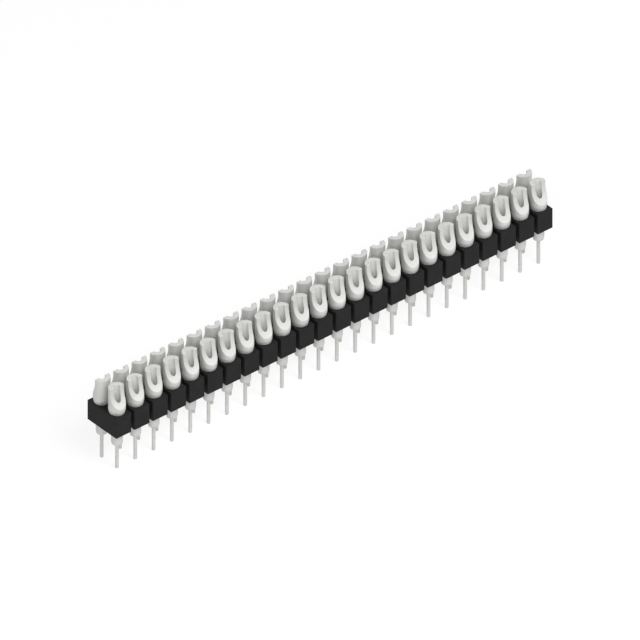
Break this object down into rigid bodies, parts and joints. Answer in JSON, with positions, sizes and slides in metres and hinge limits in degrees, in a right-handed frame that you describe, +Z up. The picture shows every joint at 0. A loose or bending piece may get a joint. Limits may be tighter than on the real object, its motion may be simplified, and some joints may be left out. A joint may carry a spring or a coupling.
{
  "type": "solder pin strip",
  "caption": "Long strip of turned solder pins in two rows, each with a scooped cup for a wire above a black notched insulator and a thin round tail below it.",
  "frame": {"origin": "midway between the four corner tails, in the plane of the tail tips", "axes": "+X along the rows, +Z up out of the solder cups, the front row of pins on the -Y side with its cups open towards -Y"},
  "size_m": [0.0604, 0.0048, 0.0105],
  "materials": {
    "insulator": "matte black moulded plastic",
    "pin": "matte tin plate over turned brass"
  },
  "bodies": {
    "root": {"insulator": "insulator", "front_pin_01": "pin", "front_pin_02": "pin", "front_pin_03": "pin", "front_pin_04": "pin", "front_pin_05": "pin", "front_pin_06": "pin", "front_pin_07": "pin", "front_pin_08": "pin", "front_pin_09": "pin", "front_pin_10": "pin", "front_pin_11": "pin", "front_pin_12": "pin", "front_pin_13": "pin", "front_pin_14": "pin", "front_pin_15": "pin", "front_pin_16": "pin", "front_pin_17": "pin", "front_pin_18": "pin", "front_pin_19": "pin", "front_pin_20": "pin", "front_pin_21": "pin", "front_pin_22": "pin", "front_pin_23": "pin", "front_pin_24": "pin", "rear_pin_01": "pin", "rear_pin_02": "pin", "rear_pin_03": "pin", "rear_pin_04": "pin", "rear_pin_05": "pin", "rear_pin_06": "pin", "rear_pin_07": "pin", "rear_pin_08": "pin", "rear_pin_09": "pin", "rear_pin_10": "pin", "rear_pin_11": "pin", "rear_pin_12": "pin", "rear_pin_13": "pin", "rear_pin_14": "pin", "rear_pin_15": "pin", "rear_pin_16": "pin", "rear_pin_17": "pin", "rear_pin_18": "pin", "rear_pin_19": "pin", "rear_pin_20": "pin", "rear_pin_21": "pin", "rear_pin_22": "pin", "rear_pin_23": "pin", "rear_pin_24": "pin"}
  },
  "joints": []
}
